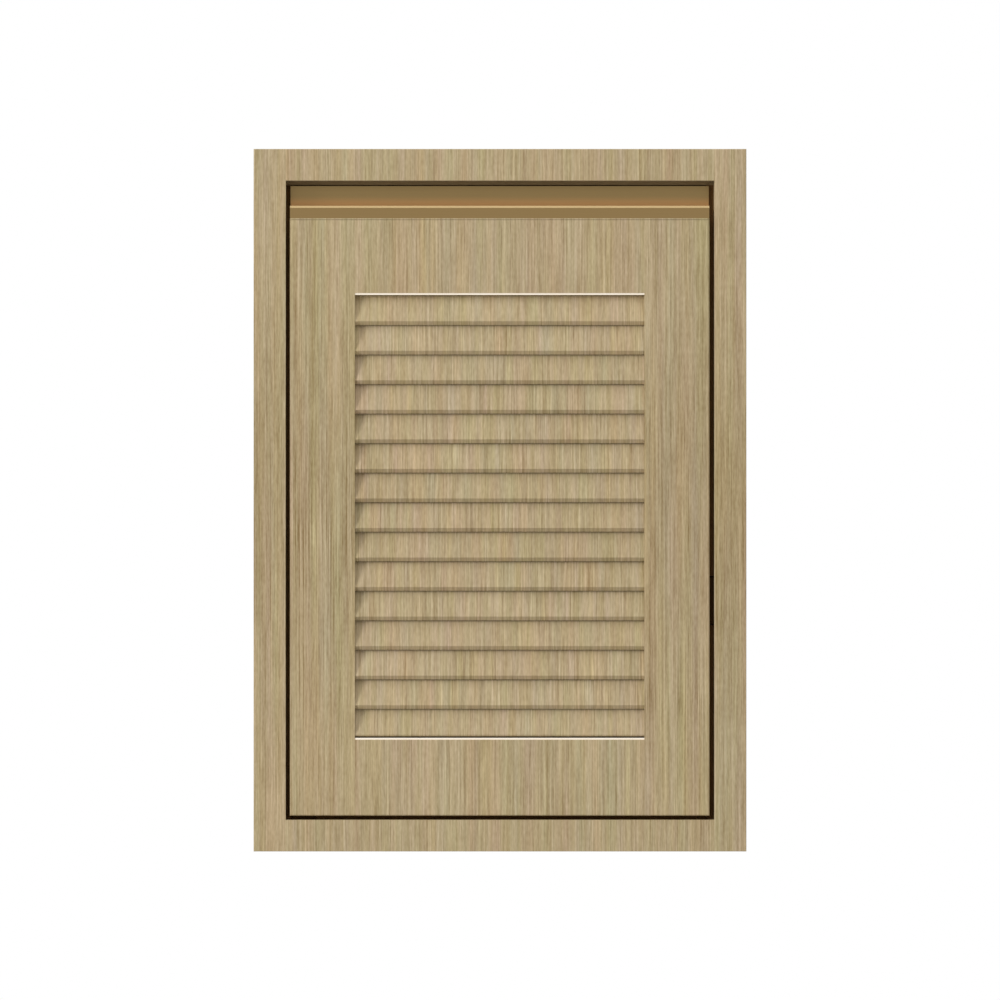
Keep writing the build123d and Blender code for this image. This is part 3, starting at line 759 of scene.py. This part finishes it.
@dataclass
class LouvredDoor:
    """The door: stiles, rails, slats, white strips and the pull."""

    oak: OakDecor
    slat_oak: OakDecor
    slat_count: int = 15
    slat_pitch_mm: float = 28.18
    lip_depth_mm: float = 3.05
    lip_height_mm: float = 11.95
    wall_depth_mm: float = 1.0
    # Height above the lip over which the pull's recess gets painted bounce light.
    glow_height_mm: float = 11.0
    row_margin_mm: float = 0.5
    left_shift_mm: Triple = (21.0, 0.0, 33.0)
    right_shift_mm: Triple = (-210.0, 0.0, 190.0)

    def finish(self, nodes: Nodes, rails: bpy.types.Material) -> None:
        """Dresses every piece of the door.

        Args:
            nodes: The frame's nodes by name.
            rails: The print of the rails.
        """
        left = self.oak.build("oak_decor_door_left", shift_mm=self.left_shift_mm)
        right = self.oak.build("oak_decor_door_right", shift_mm=self.right_shift_mm)
        dress(nodes, ["door_stile_left"], left)
        dress(nodes, ["door_stile_right"], right)
        dress(nodes, ["door_rail_top", "door_rail_bottom"], rails)
        self.finish_slats(nodes)
        dress(nodes, ["louvre_trim_top", "louvre_trim_bottom"], WHITE_STRIP.build())
        self.finish_pull(nodes)

    def finish_slats(self, nodes: Nodes) -> None:
        """Dresses the row of slats with one print, a new piece of it on each slat.

        Args:
            nodes: The frame's nodes by name.
        """
        slats = [f"louvre_slat_{index + 1:02d}" for index in range(self.slat_count)]
        row_height_mm = (self.slat_count - 1) * self.slat_pitch_mm
        row_start_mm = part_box(slats[0])[0].z / MM - row_height_mm - self.row_margin_mm
        slat_print = self.slat_oak.build(
            "oak_decor_slats",
            shift_mm=(0.0, 0.0, -row_start_mm),
            row_pitch_mm=self.slat_pitch_mm,
        )
        dress(nodes, slats, slat_print)

    def finish_pull(self, nodes: Nodes) -> None:
        """Dresses the pull, with its recess between the lip and the wall behind it.

        Args:
            nodes: The frame's nodes by name.
        """
        low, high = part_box("finger_pull")
        lip_back = low.y + self.lip_depth_mm * MM
        wall = high.y - self.wall_depth_mm * MM
        lip_top = low.z + self.lip_height_mm * MM
        glow_high = lip_top + self.glow_height_mm * MM
        dress(nodes, ["finger_pull"], AnodisedPull().build(lip_back, wall, lip_top, glow_high))


@dataclass
class Hardware:
    """Hinges, catch, shelf pins, screws and dowels."""

    steel: tuple[str, ...] = (
        "hinge_arm_upper",
        "hinge_arm_lower",
        "hinge_housing_upper",
        "hinge_housing_lower",
        "hinge_pins",
        "strike_plate",
        "shelf_pins",
    )
    screws: tuple[str, ...] = (
        "carcass_screws",
        "back_panel_screws",
        "hinge_arm_screws",
        "catch_screws",
        "finger_pull_screws",
        "hinge_housing_screws",
        "strike_screws",
    )
    dowels: tuple[str, ...] = ("frame_corner_dowels", "carcass_dowels", "door_dowels")

    def finish(self, nodes: Nodes) -> None:
        """Dresses the metal, plastic and wooden fittings.

        Args:
            nodes: The frame's nodes by name.
        """
        dress(nodes, list(self.steel), NICKEL_STEEL.build())
        dress(nodes, list(self.screws), ZINC_STEEL.build())
        dress(nodes, list(self.dowels), BEECH.build())
        dress(nodes, ["catch_body"], CATCH_PLASTIC.build())
        dress(nodes, ["catch_magnet"], FERRITE.build())


@dataclass(frozen=True)
class Softbox:
    """A square lamp: the way to it, how far off and how large it is in metres, and its watts."""

    name: str
    toward: Triple
    distance: float
    size: float
    power: float


@dataclass
class Studio:
    """Floor, light and camera, in metres unless a name says otherwise."""

    floor_drop: float = 0.9
    floor_size: float = 5.0
    floor_colour: str = "#F2F1EF"
    floor_roughness: float = 0.5
    ambient: float = 0.45
    ambient_tint: str = "#FFF9F4"
    backdrop: float = 1.0
    backdrop_tint: str = "#FFFFFF"
    key: Softbox = Softbox("key_softbox", (-1.7, -1.0, 0.45), distance=7.0, size=2.2, power=304.0)
    top: Softbox = Softbox("top_softbox", (0.0, -0.58, 1.0), distance=4.0, size=3.0, power=60.0)
    lens_mm: float = 300.0
    sensor_mm: float = 36.0
    view_width: float = 0.9537
    view_end: float = 100.0
    aim_rise: float = 0.0002

    def build(self) -> None:
        """Makes the floor, the world, the lamps and the camera."""
        low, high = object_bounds()
        front_middle = Vector((0.0, low.y, (low.z + high.z) / 2))
        self.make_floor(low.z - self.floor_drop)
        self.make_world()
        for softbox in (self.key, self.top):
            self.hang(softbox, front_middle)
        self.make_camera(front_middle + Vector((0.0, 0.0, self.aim_rise)))

    def make_floor(self, height: float) -> None:
        """Lays a plain pale floor.

        Args:
            height: Its height in metres.
        """
        half = self.floor_size / 2
        outline = ((-half, -half), (half, -half), (half, half), (-half, half))
        mesh = bpy.data.meshes.new("studio_floor")
        mesh.from_pydata([(x, y, height) for x, y in outline], [], [(0, 1, 2, 3)])
        floor = bpy.data.objects.new("studio_floor", mesh)
        bpy.context.scene.collection.objects.link(floor)
        material, tree = new_material("studio_paper")
        surface = add_node(
            tree,
            "ShaderNodeBsdfDiffuse",
            {"Color": to_linear(self.floor_colour), "Roughness": self.floor_roughness},
        ).outputs[0]
        add_node(tree, "ShaderNodeOutputMaterial", {"Surface": surface})
        mesh.materials.append(material)
        floor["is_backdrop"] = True
        log.info("laid the floor")

    def make_world(self) -> None:
        """Fills the room with even, slightly warm light on a white background."""
        world = bpy.data.worlds.new("studio_room")
        world.use_nodes = True
        tree = world.node_tree
        tree.nodes.clear()
        rays = add_node(tree, "ShaderNodeLightPath").outputs
        seen = rays["Is Camera Ray"]
        for kind in ("Is Glossy Ray", "Is Transmission Ray"):
            seen = add_node(
                tree, "ShaderNodeMath", {0: seen, 1: rays[kind]}, {"operation": "MAXIMUM"}
            ).outputs[0]
        strength = add_node(
            tree,
            "ShaderNodeMapRange",
            {"Value": seen, "To Min": self.ambient, "To Max": self.backdrop},
        ).outputs[0]
        colour = add_node(
            tree,
            "ShaderNodeMix",
            {
                SHARE: seen,
                FIRST: to_linear(self.ambient_tint),
                SECOND: to_linear(self.backdrop_tint),
            },
            {"data_type": "RGBA"},
        ).outputs[MIXED]
        light = add_node(
            tree, "ShaderNodeBackground", {"Color": colour, "Strength": strength}
        ).outputs[0]
        add_node(tree, "ShaderNodeOutputWorld", {"Surface": light})
        bpy.context.scene.world = world

    def hang(self, softbox: Softbox, aim: Vector) -> None:
        """Hangs a softbox.

        Args:
            softbox: The softbox.
            aim: The point it looks at.
        """
        toward = Vector(softbox.toward)
        lamp = bpy.data.lights.new(softbox.name, "AREA")
        lamp.shape = "SQUARE"
        lamp.size = softbox.size
        lamp.energy = softbox.power
        holder = bpy.data.objects.new(softbox.name, lamp)
        holder.location = aim + toward.normalized() * softbox.distance
        holder.rotation_euler = (-toward).to_track_quat("-Z", "Y").to_euler()
        bpy.context.scene.collection.objects.link(holder)
        log.info("hung %s", softbox.name)

    def make_camera(self, aim: Vector) -> None:
        """Sets the camera square on to the front, as in the photograph.

        Args:
            aim: The middle of the front.
        """
        data = bpy.data.cameras.new("front_camera")
        data.lens = self.lens_mm
        data.sensor_width = self.sensor_mm
        data.clip_end = self.view_end
        distance = self.view_width * self.lens_mm / self.sensor_mm
        camera = bpy.data.objects.new("front_camera", data)
        camera.location = aim + Vector((0.0, -distance, 0.0))
        camera.rotation_euler = (radians(90.0), 0.0, 0.0)
        bpy.context.scene.collection.objects.link(camera)
        bpy.context.scene.camera = camera
        log.info("set the camera %.2f m in front", distance)


def main() -> None:
    """Builds the dressed cabinet in its studio."""
    logging.basicConfig(level=logging.INFO)
    nodes = frame["nodes"]
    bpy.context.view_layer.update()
    oak = OakDecor()
    rails = oak.build("oak_decor_rails")
    Carcass(replace(oak, midway_painted_shade=0.0)).finish(nodes)
    FaceFrame(oak).finish(nodes, rails)
    # The slats' print is lighter than the boards', as painted light on their upward-tilted faces,
    # with its own painted shade half-way up.
    LouvredDoor(oak, replace(oak, tone=SLAT_PAINTED_LIGHT_TONE, midway_painted_shade=SLAT_MIDWAY_PAINTED_SHADE)).finish(nodes, rails)
    Hardware().finish(nodes)
    Studio().build()
    bpy.context.scene.view_settings.view_transform = "Standard"


if __name__ == "__main__":
    main()
